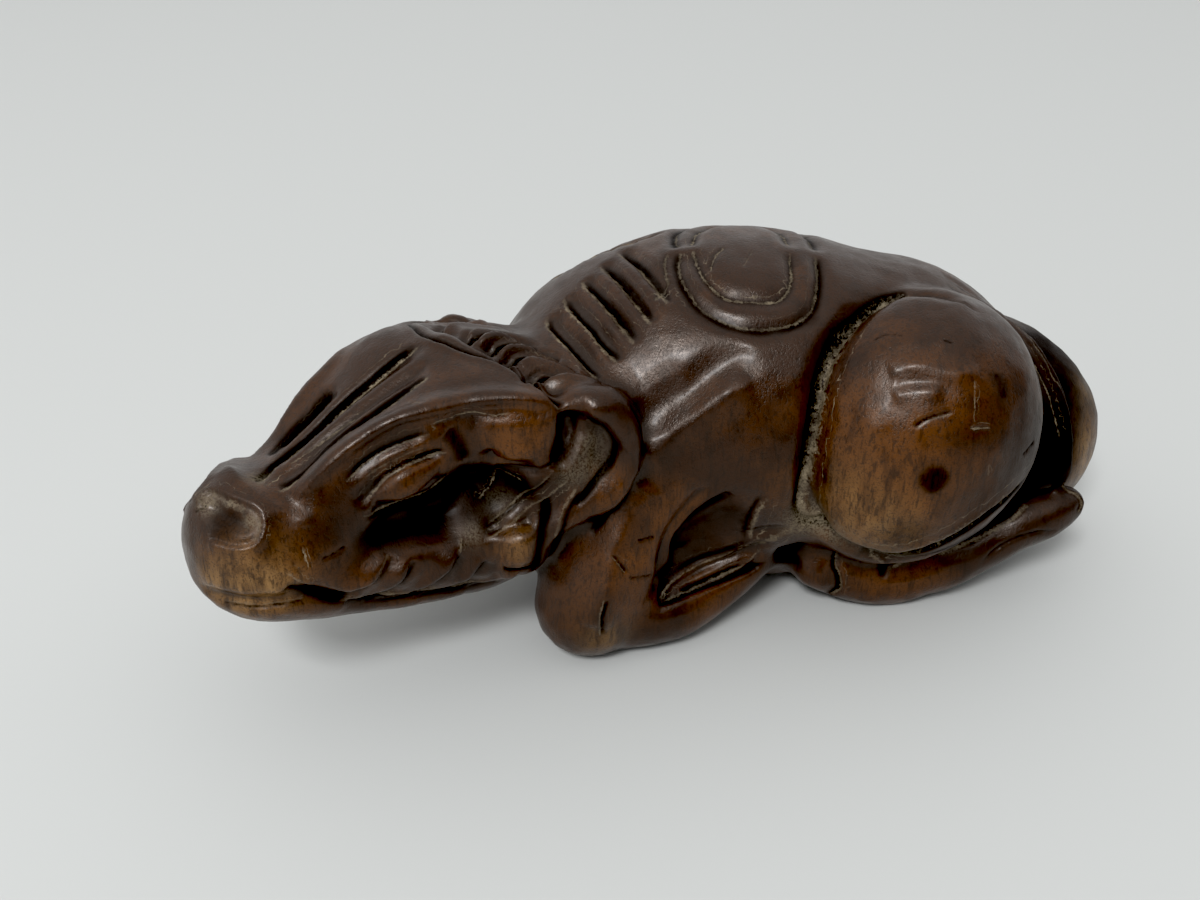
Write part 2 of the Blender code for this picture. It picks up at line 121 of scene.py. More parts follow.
def neighbourMean(values, edges, valence):  # the mean over each point's neighbours
    count = len(values)
    total = np.empty_like(values)
    for column in range(values.shape[1]):
        total[:, column] = np.bincount(edges[:, 0], values[edges[:, 1], column], count)
        total[:, column] += np.bincount(edges[:, 1], values[edges[:, 0], column], count)
    return total / valence


def evenOut(values, edges, rounds, inward=0.5, outward=0.0):
    # Each round moves a value toward its neighbours' mean, and then a little back so that nothing shrinks.
    valence = np.bincount(edges.ravel(), minlength=len(values))[:, None]
    for _ in range(rounds):
        values = values + inward * (neighbourMean(values, edges, valence) - values)
        if outward:
            values = values - outward * (neighbourMean(values, edges, valence) - values)
    return values


def applied(thing, kind, **settings):  # adds one modifier and makes its result the mesh
    step = thing.modifiers.new(kind.lower(), kind)
    for name, value in settings.items():
        setattr(step, name, value)
    bpy.context.view_layer.update()
    made = bpy.data.meshes.new_from_object(thing.evaluated_get(bpy.context.evaluated_depsgraph_get()))
    thing.modifiers.clear()
    old = thing.data
    thing.data = made
    bpy.data.meshes.remove(old)


def curveThrough(points, count):
    # A cubic through every point, with each point's slope taken from the points beside it.
    rows = np.array([tuple(p) for p in points], dtype=float)
    slopes = np.gradient(rows, axis=0)
    places = np.linspace(0, len(rows) - 1, count)
    left = np.minimum(places.astype(int), len(rows) - 2)
    t = (places - left)[:, None]
    bend = t * t * (3 - 2 * t)
    start, end = rows[left], rows[left + 1]
    leaving, arriving = slopes[left] * t * (1 - t) ** 2, slopes[left + 1] * t * t * (1 - t)
    return start + (end - start) * bend + leaving - arriving


def steady(rows, rounds):  # evens out a row of values, ends held
    for _ in range(rounds):
        middle = (rows[:-2] + 2 * rows[1:-1] + rows[2:]) / 4
        rows = np.concatenate((rows[:1], middle, rows[-1:]))
    return rows


def mark(path, width, depth=0.0, step=0.0, fade=0.15, edge=1.6, dust=0.0, dustAt=0.0, dustWidth=0.1,
         dark=0.0, darkAt=0.0, darkWidth=None):
    # One stroke of the knife: a cut of that depth, or a ridge if negative. A step raises its left side.
    # A higher edge makes its walls steeper. Dust, and dark stain with painted shade, lie along it, at a
    # distance to its right.
    return dict(path=path, width=width, depth=depth, step=step, fade=fade, edge=edge,
                dust=dust, dustAt=dustAt, dustWidth=dustWidth,
                dark=dark, darkAt=darkAt, darkWidth=darkWidth or 1.4 * width)


def layOn(tree, path, spacing):  # the path as closely spaced places on the skin
    rows = np.array([tuple(place) for place in path], dtype=float)
    length = np.linalg.norm(np.diff(rows, axis=0), axis=1).sum()
    line = curveThrough(rows, max(8, int(length / spacing)))
    for _ in range(2):
        line = steady(np.array([tuple(tree.find_nearest(Vector(spot))[0]) for spot in line]), 4)
    return line


def alongStroke(points, normals, line, reach):
    # For points within reach of a line: which they are, how far along it, and how far across it.
    low, high = line.min(axis=0) - reach, line.max(axis=0) + reach
    near = np.flatnonzero(((points > low) & (points < high)).all(axis=1))
    spots = points[near]
    gaps = (spots**2).sum(axis=1)[:, None] + (line**2).sum(axis=1)[None] - 2 * spots @ line.T
    closest = gaps.argmin(axis=1)
    kept = gaps[np.arange(len(near)), closest] < reach**2
    near, closest = near[kept], closest[kept]
    heading = np.gradient(line, axis=0)
    heading /= np.linalg.norm(heading, axis=1)[:, None] + 1e-9
    offset = points[near] - line[closest]
    level = offset - (offset * normals[near]).sum(axis=1)[:, None] * normals[near]
    rightward = np.cross(heading[closest], normals[near])
    across = np.linalg.norm(level, axis=1) * np.sign((level * rightward).sum(axis=1) + 1e-12)
    return near, closest / (len(line) - 1), across


def endFade(along, share):  # 1 in the middle of a stroke, falling to 0 over that share of it at each end
    if share <= 0:
        return np.ones_like(along)
    near = np.clip(np.minimum(along, 1 - along) / share, 0, 1)
    return near * (2 - near)


def handSteadiness(line, random):
    # A hand-cut line is never even: its strength drifts between about 0.7 and 1.25 every half mark.
    length = np.linalg.norm(np.diff(line, axis=0), axis=1).sum()
    knots = random.uniform(0.7, 1.25, max(3, int(length / 0.5)))
    return np.interp(np.linspace(0, 1, len(line)), np.linspace(0, 1, len(knots)), knots)


def cutStrokes(points, normals, tree, strokes, random):
    # For every point: the lift that all strokes give, the dark stain and painted shade that they hold, how
    # much dust the nearest dusty line holds, and how many of its own half widths away that line is, with a
    # sign.
    lift, dark, dust = (np.zeros(len(points)) for _ in range(3))
    dustLine = np.full(len(points), farOff)
    for stroke in strokes:
        width, dustWidth, darkWidth = stroke["width"], stroke["dustWidth"], stroke["darkWidth"]
        line = layOn(tree, stroke["path"], ox["strokeSpacing"])
        reach = max(3 * width, abs(stroke["dustAt"]) + 3 * dustWidth, abs(stroke["darkAt"]) + 2 * darkWidth)
        near, along, across = alongStroke(points, normals, line, reach)
        uneven = handSteadiness(line, random)[np.round(along * (len(line) - 1)).astype(int)]
        ends = endFade(along, stroke["fade"])
        groove = np.exp(-np.abs(across / width) ** stroke["edge"])
        shelf = np.tanh(across / (0.4 * width)) * np.exp(-(across / (1.7 * width)) ** 2)
        lift[near] -= ends * (uneven * stroke["depth"] * groove + stroke["step"] * shelf)
        pool = np.exp(-np.abs((across - stroke["darkAt"]) / darkWidth) ** (stroke["edge"] + 0.5))
        dark[near] = np.maximum(dark[near], stroke["dark"] * ends**0.5 * pool)
        if stroke["dust"]:
            away = (across - stroke["dustAt"]) / dustWidth
            nearer = np.abs(away) < np.abs(dustLine[near])
            dustLine[near[nearer]] = away[nearer]
            dust[near[nearer]] = (stroke["dust"] * uneven * ends**0.5)[nearer]
    return lift, np.minimum(dark, 1), dust, dustLine


def handWorked(points, random, height, count):
    # The slight unevenness that a knife leaves: waves of 2 to 6 marks running every way, added up.
    way = random.normal(size=(3, count))
    way /= np.linalg.norm(way, axis=0)
    turns = 2 * pi / random.uniform(2, 6, count)
    start = random.uniform(0, 2 * pi, count)
    return height * np.sin(points @ (way * turns) + start).sum(axis=1) / count**0.5


def spread(points, spots, power=2.0):
    # 0 to 1 for every point: how far it is covered by round spots of (place, radius, amount). A higher
    # power gives the spots a harder edge.
    bare = np.ones(len(points))
    for place, radius, amount in spots:
        gap = np.linalg.norm(points - np.asarray(place), axis=1) / radius
        bare *= 1 - amount * np.exp(-(gap**power))
    return 1 - bare


# Where the solid's facets are evened out before the knife, as (place, radius): on the cheeks, in head
# coordinates, and on the back.
softCheek = [((12.0, 4.9, -6.8), 2.6), ((9.4, 5.1, -7.4), 2.6), ((6.6, 5.4, -7.8), 2.2),
             ((3.6, 6.4, -5.4), 1.8)]
softBack = [((6.2, -4.4, 21.3), 2.4), ((9.0, -5.0, 20.9), 2.4), ((12.0, -3.6, 21.2), 2.2),
            ((8.5, 0, 22.7), 4.4)]

ox = {
    "voxel": 0.16,
    "facetRounds": 30,  # evening out of the facets, all over
    "softRounds": 50,  # and further on the soft spots, by these shares
    "cheekEvenness": 0.9,
    "backEvenness": 0.95,
    "normalRounds": 4,
    "broadRounds": 50,  # the broad form that hollows and ridges are measured from
    "unevenness": 0.035,
    "waves": 26,
    "strokeSpacing": 0.12,
    "triangles": 190000,
    "handSeed": 11,
}


def onCheek(strokes, side):  # strokes given on the head, laid on one side of it
    placed = []
    for stroke in strokes:
        flips = {name: side * stroke[name] for name in ("step", "dustAt", "darkAt")}
        placed.append({**stroke, **flips, "path": onHead(*stroke["path"], side=side)})
    return placed


def faceForms():
    return [
        # brow, with the side of the head set back below its edge
        mark([(14.2, 3.1, -1.3), (11.5, 3.7, 0.2), (9.9, 4.1, 0.9), (8.9, 4.3, 1.2), (7.8, 4.6, 1.4),
              (6.8, 4.8, 1.3), (5.7, 5.1, 1.1), (4.4, 5.4, 1.0), (3.3, 5.8, 0.9), (2.1, 6.5, 0.7),
              (1, 7.1, 0.3), (0.2, 7.4, -0.2)], 0.5, depth=-0.1, step=0.2),
        # eyeball, raised between the lids
        mark([(10.0, 4.4, -2.5), (8.8, 4.7, -2.1), (7.6, 4.7, -2.0), (6.5, 4.9, -1.8)], 0.55, depth=-0.12,
             fade=0.4),
        # hollow under and behind the eye, painted dark as shade
        mark([(12.4, 4.6, -4.1), (10.6, 4.4, -4.7), (8.6, 4.3, -5.1), (6.8, 4.3, -5.3), (5.6, 4.5, -4.6),
              (5.2, 4.8, -3.4), (5.1, 5.0, -2.0)], 0.75, depth=0.08, dark=0.8, darkWidth=1.0, fade=0.2),
        mark([(5.6, 5.1, 0.1), (5.2, 5.1, -0.8), (5.1, 5.0, -2.0)], 0.5, depth=0.1, dark=0.75,
             darkWidth=0.6),
        mark([(13.2, 4.7, -5.3), (11.2, 4.6, -5.9), (9.4, 4.5, -6.2), (7.8, 4.7, -6.7), (6.4, 5.0, -7.0)],
             0.8, step=-0.06, dark=0.4, darkAt=-0.6, darkWidth=0.6),
        mark([(12.6, 4.9, -6.4), (10.8, 5.0, -7.0), (8.8, 5.1, -7.6), (6.8, 5.3, -8.2)], 0.9, depth=-0.16),
        # horn stump
        mark([(4.0, 5.3, -0.4), (2.6, 6.0, -0.5), (1.2, 6.9, -0.7)], 0.9, depth=-0.22, fade=0.3),
        mark([(3.5, 5.5, -1.9), (2.3, 6.2, -2.0), (1.2, 6.9, -2.2)], 0.8, depth=-0.22, fade=0.3),
        mark([(3.5, 5.4, -3.1), (2.5, 5.9, -3.4), (1.5, 6.6, -3.6), (0.8, 6.9, -3.3)], 0.28, step=0.2,
             depth=0.06, dark=0.6, darkAt=0.35, darkWidth=0.3, fade=0.12),
        # the gap between the horn stump and the ear, painted black as shade
        mark([(-0.3, 7.5, -0.9), (-0.3, 7.5, -1.7), (0.1, 7.3, -2.7), (0.9, 7.0, -3.5)], 0.36, depth=0.4,
             dark=1.0, darkWidth=0.45, edge=3),
        # ear: a broad rolled rim round a flat slab, narrowing down to the jaw
        mark([(-0.5, 7.6, -0.3), (-1.5, 8.1, -0.5), (-2.5, 8.6, -1.6), (-3.1, 8.9, -3.4), (-3.0, 8.8, -5.0),
              (-1.9, 8.3, -6.5), (-0.5, 7.7, -7.7)], 0.62, depth=-0.32),
        mark([(-1.3, 7.9, -1.3), (-1.9, 8.2, -2.2), (-2.2, 8.4, -3.4), (-1.8, 8.2, -4.6), (-0.9, 7.9, -5.5),
              (0.3, 7.5, -6.6)], 0.2, depth=0.26, edge=2.5, dark=0.95, darkWidth=0.26, fade=0.1),
        mark([(-1.2, 7.9, -2.4), (-1.0, 7.8, -3.4), (-0.6, 7.7, -4.3), (0.3, 7.5, -4.6)], 0.7, depth=-0.12),
        # jaw angle, with a gap behind it painted black as shade
        mark([(3.6, 6.1, -6.9), (3.4, 6.5, -8.2), (3.6, 6.7, -9.2)], 0.75, depth=-0.26),
        mark([(1.6, 6.9, -5.6), (2.3, 6.9, -7.4), (2.9, 6.7, -9.3), (3.0, 6.3, -10.5)], 0.26, depth=0.3,
             dark=1.0, darkWidth=0.4),
        # mouth corner, its notch painted black as shade
        mark([(16.3, 4.4, -4.8), (15.7, 4.5, -5.4), (15.0, 4.4, -6.1), (14.2, 4.3, -6.9),
              (13.3, 4.3, -7.6)], 0.36, depth=0.28, dark=1.0, darkWidth=0.42),
        # cheek folds, each lapping over the next
        mark([(14.4, 4.4, -6.3), (13.1, 4.8, -6.9), (12, 5, -6.8), (11.2, 5.1, -6.3), (10.5, 4.8, -5.8)],
             0.36, step=0.22, depth=0.08, dark=0.5, darkAt=0.2, darkWidth=0.2, dust=0.25, dustAt=-0.1),
        mark([(13.4, 4.3, -7.5), (12.6, 4.3, -8.1), (11.6, 4.4, -8.3), (10.8, 4.9, -7.8), (10.2, 5.2, -7.2),
              (9.5, 5.1, -6.5)], 0.36, step=0.26, depth=0.1, dark=0.7, darkAt=0.2, darkWidth=0.2),
        mark([(12.0, 4.3, -8.6), (10.8, 4.4, -9.1), (9.6, 4.7, -9.2), (8.6, 5.2, -8.6), (7.7, 5.5, -8.0),
              (6.9, 5.5, -7.4)], 0.36, step=0.28, depth=0.1, dark=0.7, darkAt=0.2, darkWidth=0.2),
        mark([(9.6, 4.5, -9.6), (8.2, 4.6, -9.9), (6.9, 5.0, -9.8), (6.2, 5.5, -9.1), (5.6, 5.7, -8.5)],
             0.36, step=0.26, depth=0.1, dark=0.7, darkAt=0.2, darkWidth=0.2),
        mark([(6.8, 4.7, -10.5), (5.5, 5.0, -10.9), (4.5, 5.8, -10.4), (4.0, 6.3, -9.8)], 0.4, step=0.22,
             depth=0.05, dark=0.6, darkAt=0.2, darkWidth=0.2),
        # nostril: a flat facet with a worn rim
        mark([(18.3, 0.4, -0.6), (17.3, 0.6, 0.0), (16.7, 1.6, -0.3), (15.9, 2.9, -0.8), (16.1, 3.5, -1.5),
              (16.8, 3.6, -2.1), (17.7, 3.1, -2.1), (18.5, 1.8, -1.9)], 0.24, step=0.13, fade=0.02),
        mark([(16.2, -1.2, -0.1), (15.9, 0.6, 0.0), (15.5, 2.2, -0.5), (14.9, 3.2, -1.1), (14.3, 3.8, -1.8),
              (13.6, 4.2, -2.5)], 0.42, depth=-0.14),
    ]


def faceCuts():
    return [
        # thin lines on and under the brow
        mark([(6.4, 5.0, 0.7), (5.4, 5.2, 0.7), (4.5, 5.4, 0.7), (3.9, 5.6, 0.6), (3.2, 6.0, 0.2),
              (2.4, 6.5, 0.2)], 0.12, step=0.06, dust=0.7, dustWidth=0.06, fade=0.2),
        mark([(11.4, 4.0, -0.8), (10.2, 4.2, -0.2), (9.2, 4.3, 0.1), (7.9, 4.5, 0.2), (6.5, 5.0, 0.3)],
             0.16, depth=0.09, dust=0.7, dustAt=0.08, dustWidth=0.07, dark=0.9, darkAt=-0.06, darkWidth=0.2,
             fade=0.25),
        mark([(10.6, 4.3, -1.0), (9.4, 4.5, -0.6), (8.0, 4.7, -0.4), (6.9, 4.9, -0.4)], 0.12, depth=0.06,
             dust=0.35, dustWidth=0.07, dark=0.4, fade=0.3),
        # upper and lower lid
        mark([(11.0, 4.5, -2.3), (9.7, 4.6, -1.4), (8.8, 4.9, -1.0), (7.6, 4.9, -1.0), (6.7, 4.9, -1.1),
              (5.9, 5.2, -1.1)], 0.13, depth=0.14, dust=0.8, dustWidth=0.08, dark=0.85, darkAt=-0.2,
             darkWidth=0.16, fade=0.25),
        mark([(11.2, 4.4, -2.9), (10.1, 4.3, -3.1), (8.3, 4.3, -3.4), (7.2, 4.3, -3.6), (6.5, 4.6, -3.1),
              (6.1, 4.9, -2.5)], 0.13, depth=0.14, dust=0.7, dustAt=0.04, dustWidth=0.06, dark=0.95,
             darkAt=0.22, darkWidth=0.25, fade=0.25),
        mark([(9.6, 4.5, -2.2), (8.4, 4.8, -1.8), (7.2, 4.8, -1.7)], 0.08, depth=0.04, dark=0.3, fade=0.3),
        # mouth and jaw line
        mark([(19.2, 2, -5.6), (18.5, 2.9, -5.7), (17.8, 3.6, -5.8), (16.5, 4.2, -6.0), (15.4, 4.2, -6.4)],
             0.1, depth=0.1, dark=0.9, darkWidth=0.1, dust=0.3, dustAt=-0.12, dustWidth=0.06),
        mark([(13.9, 4.4, -7.6), (12.4, 4.4, -8.4), (10.6, 4.5, -9.2), (8.3, 4.6, -10.0), (6.2, 4.7, -10.7),
              (4.6, 4.6, -11.3)], 0.14, depth=0.12, step=0.05, dark=0.85, darkWidth=0.16, dust=0.5,
             dustAt=-0.22, dustWidth=0.08),
        mark([(15.9, 4.6, -4.0), (15.5, 4.7, -4.8), (14.9, 4.6, -5.7), (14.2, 4.5, -6.5)], 0.16, step=0.08,
             dust=0.55, dustWidth=0.09),
        mark([(14.7, 4.4, -3.1), (14.8, 4.7, -4.3)], 0.07, depth=0.06, dust=0.9, dustWidth=0.06),
        mark([(14.1, 4.7, -4.1), (13.2, 4.7, -4.2), (12.5, 4.6, -4.1)], 0.08, depth=0.12, dark=0.9,
             darkWidth=0.1),
        # streaks and folds from the ear to the cheek
        mark([(0.2, 7.5, -4.7), (2.2, 6.4, -6.0), (3.8, 5.8, -7.0), (5.2, 5.7, -7.3)], 0.16, depth=-0.08,
             dust=0.6, dustWidth=0.1),
        mark([(1, 7.4, -3.9), (2.6, 5.9, -5.6), (3.6, 5.4, -6.4), (4.7, 5.1, -7.0)], 0.16, depth=0.12,
             dust=0.45, dustAt=0.16, dustWidth=0.08, dark=0.8),
        mark([(4.8, 5.2, -4.6), (3.8, 5.6, -4.4), (2.8, 6.2, -4.4)], 0.12, depth=0.08, dust=0.7,
             dustWidth=0.09),
        mark([(0.0, 7.6, -5.4), (0.9, 7.3, -6.5), (1.6, 7.4, -7.5), (2.2, 6.8, -9.0)], 0.18, depth=-0.14,
             dust=0.6, dustWidth=0.08, dark=0.8, darkAt=-0.32, darkWidth=0.18),
        mark([(4.9, 6.0, -9.3), (4.0, 6.6, -9.6), (3.1, 6.7, -9.9)], 0.14, depth=0.16, dark=1.0),
        mark([(6.4, 5.1, -6.7), (6.9, 5.5, -7.4)], 0.1, depth=-0.08, dust=1.0, dustWidth=0.1),
        # neck behind the ear
        mark([(-3.4, 8.6, -1.0), (-3.9, 8.9, -2.6), (-3.9, 8.9, -4.6), (-3.2, 8.5, -6.4), (-1.7, 8.0, -7.9),
              (0.2, 7.4, -9.0)], 0.2, depth=0.26, dark=1.0, darkWidth=0.24),
        # dust in the nostril
        mark([(18.4, 0.4, -0.6), (17.5, 0.6, 0), (16.9, 1.5, -0.4), (16.3, 2.5, -0.7)], 0.12, depth=0.05,
             dust=0.55, dustAt=0.14, dustWidth=0.2),
        mark([(16.6, 2.0, -0.6), (15.9, 3.0, -0.9), (16.1, 3.5, -1.5), (16.7, 3.7, -2.1)], 0.1, dust=0.5,
             dustAt=0.1, dustWidth=0.14),
        mark([(18.5, 0.5, -0.8), (17.8, 0.8, -0.6)], 0.08, depth=0.12, dark=1.0, darkWidth=0.1),
    ]


def crownCuts():  # grooves down the nose, and the edge of the crown above the mane
    noseGroove = onHead((15.2, 1.1, -0.4), (14.2, 0.5, -0.5), (13.1, -0.1, -0.4), (11.4, -0.1, 0),
                        (9.3, -0.2, 0.8), (6.5, -0.2, 1.8), (4.0, -0.3, 2.5))
    browGroove = onHead((14.4, 2.0, -0.7), (12.6, 2.3, -0.2), (10.5, 2.6, 0.8), (8.2, 2.8, 1.6),
                        (6.4, 2.6, 2.1), (5.0, 2.2, 2.5))
    noseScratch = onHead((13.2, 1.0, -0.3), (11.6, 1.3, 0.3), (10.0, 1.5, 0.9), (8.6, 1.6, 1.5))
    farGroove = onHead((13.6, -1.2, -0.5), (12.1, -1.8, -0.3), (10.6, -1.8, 0.4), (9.0, -1.8, 1.2))
    crownEdge = onHead((3.0, -4.6, 1.4), (3.3, -2.4, 2.2), (3.3, -0.3, 2.6), (2.7, 1.0, 2.4),
                       (2.1, 2.2, 2.0), (1.4, 3.1, 1.6), (0.8, 4.2, 1.2), (0.5, 5.4, 0.9), (0.2, 6.6, 0.4),
                       (-0.1, 7.5, -0.3))
    browNick = onHead((6.7, 3.8, 2.1), (6.2, 4.5, 1.6))
    strokes = [
        mark(noseGroove, 0.24, depth=0.16, edge=3, dust=1.0, dustAt=0.14, dustWidth=0.09, dark=0.95,
             darkAt=-0.1, darkWidth=0.28, fade=0.1),
        mark(browGroove, 0.3, depth=0.15, edge=3, dust=0.9, dustAt=0.24, dustWidth=0.12, dark=0.95,
             darkAt=-0.02, darkWidth=0.36, fade=0.12),
        mark(noseScratch, 0.12, depth=0.08, dust=0.6, dustWidth=0.07, dark=0.5, fade=0.25),
        mark(farGroove, 0.36, depth=0.12, dust=0.5, dustAt=0.36, dustWidth=0.06, dark=1.0, darkWidth=0.5),
        mark(crownEdge, 0.2, depth=0.2, step=-0.2, edge=2.5, dark=0.9, darkAt=-0.1, dust=0.4, dustAt=0.12,
             dustWidth=0.06, fade=0.05),
        mark(browNick, 0.12, depth=0.08, dust=0.6, dustWidth=0.07),
    ]
    # locks of the mane, each a blade that runs back and outward and lies over the one before it
    for u, v in ((1.9, -4.6), (2.3, -1.4), (1.9, 1.1), (1.0, 2.5), (0.6, 3.9), (0.2, 5.9)):
        for inset, strength in ((0.0, 1.0), (0.6, 0.3)):
            lock = onHead((u, v - inset, 1.6), (u - 1.1, v - 0.6 - inset, 1.2),
                          (u - 2.3, v - 0.5 - inset, 0.6), (u - 3.9, v + 0.7 - inset, -0.2))
            strokes.append(mark(lock, 0.34 * strength**0.5, step=-0.42 * strength, depth=0.1,
                                dark=0.95 * strength, darkAt=-0.25, darkWidth=0.28, dust=0.4 * strength,
                                dustAt=0.1, dustWidth=0.06, fade=0.12))
    return strokes


def flankCuts(side):  # ribs and strap; side -1 is the seen flank
    strokes = []
    for i in range(5):
        top = (-3.3 + 1.15 * i, -2.4 + 1.0 * i if side < 0 else 2.9, 20 + 0.5 * i)
        foot = (0.1 + 1.03 * i, side * (7.4 - 0.86 * i), 18.2 + 0.6 * i)
        middle = tuple((a + b) / 2 for a, b in zip(top, foot))
        strokes.append(mark([top, middle, foot], 0.22, depth=0.14, fade=0.22, edge=2.5, dust=0.9,
                            dustAt=-0.24 * side, dustWidth=0.12, dark=0.85, darkWidth=0.28))
    outer = [(4.6, 0.4, 22.7), (4.5, 1.6, 22.2), (4.8, 3.3, 21.7), (5.9, 5.0, 21.0), (8.2, 5.9, 20.3),
             (10.6, 5.7, 20.4), (12.1, 4.7, 20.8), (12.7, 2.7, 21.6), (12.9, 0.4, 22.5)]
    inner = [(5.4, 0.4, 22.9), (5.7, 1.6, 22.2), (6.1, 2.9, 21.8), (7.1, 4.0, 21.2), (8.6, 4.3, 21.2),
             (10.2, 4.1, 21.2), (11.0, 2.9, 21.7), (11.2, 0.4, 22.6)]
    strokes.append(mark([(x, side * y, z) for x, y, z in outer], 0.24, depth=0.04, dark=0.85,
                        darkWidth=0.36, dust=0.5, dustAt=0.12 * side, dustWidth=0.09, fade=0.04))
    strokes.append(mark([(x, side * y, z) for x, y, z in inner], 0.16, depth=0.04, dust=0.7,
                        dustWidth=0.09, dark=0.7, darkWidth=0.26, fade=0.04))
    return strokes


def seenBackCuts():  # a short rib, a gouge and a scratch on the seen side of the back
    return [
        mark([(3.2, -4.8, 23), (4.0, -0.4, 23)], 0.16, depth=0.1, dust=0.4, dark=0.7),
        mark([(6.0, -2.6, 23), (6.7, -1.2, 23), (7.3, -0.3, 23)], 0.14, depth=0.1, dust=0.6, dustWidth=0.07,
             dark=0.5),
        mark([(8.3, -2.4, 23), (9.0, -0.6, 23)], 0.08, depth=0.05, dust=0.3, dustWidth=0.05),
    ]


def haunchForms():
    return [
        # the long crease round the haunch, full of dust
        mark([(18.0, -2.7, 20.9), (17.3, -2.7, 20.6), (16.4, -3.0, 20.4), (14.4, -4.9, 19.6),
              (13.5, -5.9, 18.8), (12.9, -6.7, 17.8), (12.4, -7.9, 15.7), (12.1, -8.5, 13.2),
              (11.9, -8.8, 10.9), (12.2, -8.9, 9.5), (13.4, -9.2, 8.7), (15.4, -9.9, 8.1),
              (17.2, -10.2, 7.8), (18.8, -10.6, 8.5), (20.7, -10.7, 9.8), (22.1, -10.4, 10.7),
              (23.8, -9.4, 11.6), (25.2, -7.8, 12.0)], 0.26, depth=0.2, step=0.16, fade=0.06, edge=2,
             dust=0.95, dustAt=-0.04, dustWidth=0.32, dark=0.95, darkAt=0.36, darkWidth=0.42),
        # the dark strip between the thigh and the foot
        mark([(15.4, -9.4, 7.0), (17.4, -9.6, 6.8), (19.5, -9.6, 7.3), (22.4, -8.8, 8.9),
              (25.0, -7.2, 10.3)], 0.7, depth=0.12, dark=0.95, darkWidth=1.1, fade=0.06),
        # soft ridges and a shallow hollow high on the haunch
        mark([(15.9, -8.7, 19.1), (16.7, -8.7, 19.4), (17.7, -8.8, 19.6), (19.4, -9.2, 19.3),
              (20.9, -8.8, 19.3)], 0.6, depth=-0.2),
        mark([(16.1, -9.7, 18.1), (17.2, -9.7, 18.5), (18.7, -9.9, 18.5)], 0.45, depth=-0.12),
        mark([(16.2, -9.2, 18.6), (17.6, -9.4, 19.0), (19.6, -9.8, 18.8)], 0.4, depth=0.08),
        mark([(13.9, -9.4, 17.0), (14.9, -10.0, 16.7), (15.8, -10.4, 16.2)], 0.9, depth=-0.12, fade=0.5),
    ]


def haunchCuts():
    strokes = [
        # nicks and scratches
        mark([(16.9, -3.9, 21.2), (18.3, -2.9, 20.9), (19.4, -3.5, 21.2), (20.4, -4.5, 21.3),
              (21.5, -5.2, 21)], 0.16, depth=0.1, step=-0.08, dark=0.8, darkWidth=0.13, fade=0.3),
        mark([(20.5, -9.2, 19.0), (20.5, -10.5, 17.0)], 0.08, depth=0.05, dust=0.6, dustWidth=0.06,
             fade=0.1),
        mark([(17.2, -10.7, 16.8), (17.8, -10.6, 17.3), (19.3, -10.4, 17.7)], 0.1, depth=0.14, dark=1.0,
             darkWidth=0.12, dust=0.6, dustAt=0.15, dustWidth=0.06, fade=0.25),
        mark([(20.3, -10.7, 16.7), (21.5, -10.4, 16.6)], 0.1, depth=0.1, dust=0.8, dustWidth=0.06,
             dark=0.5),
        mark([(21.8, -8.6, 19.1), (22.5, -9.3, 17.7)], 0.3, dark=0.75, darkWidth=0.35),
        mark([(23.9, -9.4, 14.2), (24.9, -8.3, 14.4)], 0.1, depth=0.12, dark=1.0, darkWidth=0.12),
        mark([(15.2, -6.8, 20.0), (15.8, -6.7, 20.4), (16.9, -7.1, 20.6)], 0.06, depth=0.04, dark=0.7),
        mark([(18.8, -7.6, 20.6), (19.5, -7.8, 20.4)], 0.08, depth=0.04, dark=0.8),
        mark([(21.6, -10.9, 14.6), (21.7, -10.9, 13.8)], 0.06, depth=0.04, dust=0.6, dustWidth=0.05),
        # tail
        mark([(21.0, 0.2, 20.6), (24.0, -1.4, 19.2), (26.8, -2.7, 15.6), (28.4, -3.4, 11.5)], 0.16,
             depth=0.16, dust=0.8, dustWidth=0.07, dark=0.8),
        mark([(21.2, 1.0, 20.6), (24.4, -0.6, 19.0), (27.3, -1.9, 15.4), (29.0, -2.7, 11.5)], 0.14,
             depth=0.14, dust=0.6, dustWidth=0.06, dark=0.6),
        # sole of the foot, its notch and the dust along its upper edge
        mark([(24.0, -6.0, 3.6), (25.0, -5.8, 4.7), (26.3, -5.5, 5.4), (27.8, -5.3, 5.6),
              (29.2, -5.1, 5.3)], 0.14, depth=0.14, step=0.08, dark=0.8, darkWidth=0.16, fade=0.3),
        mark([(18.1, -8.0, 5.4), (17.9, -7.2, 4.4), (17.8, -6.9, 3.2)], 0.22, depth=0.24, dark=0.9,
             darkWidth=0.34, fade=0.3),
        mark([(18.1, -6.9, 3.8), (19.6, -6.6, 4.2), (21.7, -6.2, 4.7), (23.8, -5.5, 5.4), (25.7, -5.0, 6.2),
              (27.0, -4.0, 6.8)], 0.12, depth=0.06, dust=0.9, dustWidth=0.14, dark=0.8, darkAt=-0.35,
             darkWidth=0.35),
        mark([(14.2, -9.6, 8.2), (15.6, -9.6, 7.2), (16.6, -8.8, 6.2), (17.5, -8.0, 5.2)], 0.14, depth=0.08,
             dust=0.8, dustWidth=0.16, dark=0.6, darkAt=-0.3, darkWidth=0.3),
        mark([(29.2, -3.4, 8.4), (30.6, -3.4, 6.9), (30.4, -4.0, 6.2)], 0.2, step=0.1, dark=0.5, dust=0.5,
             dustWidth=0.08),
    ]
    # hair-like scratches low on the haunch, of uneven length and slant
    for i in range(12):
        x, z = 13.4 + 0.33 * i, 16.8 - 0.5 * i + 1.6 * sin(5 * i)
        slant, drop = 0.25 + 0.2 * sin(3 * i), 0.9 + 0.5 * cos(7 * i)
        strokes.append(mark([(x, -11, z), (x + slant, -11.2, z - drop)], 0.05, depth=0.025, dark=0.4,
                            darkWidth=0.06, fade=0.5))
    return strokes


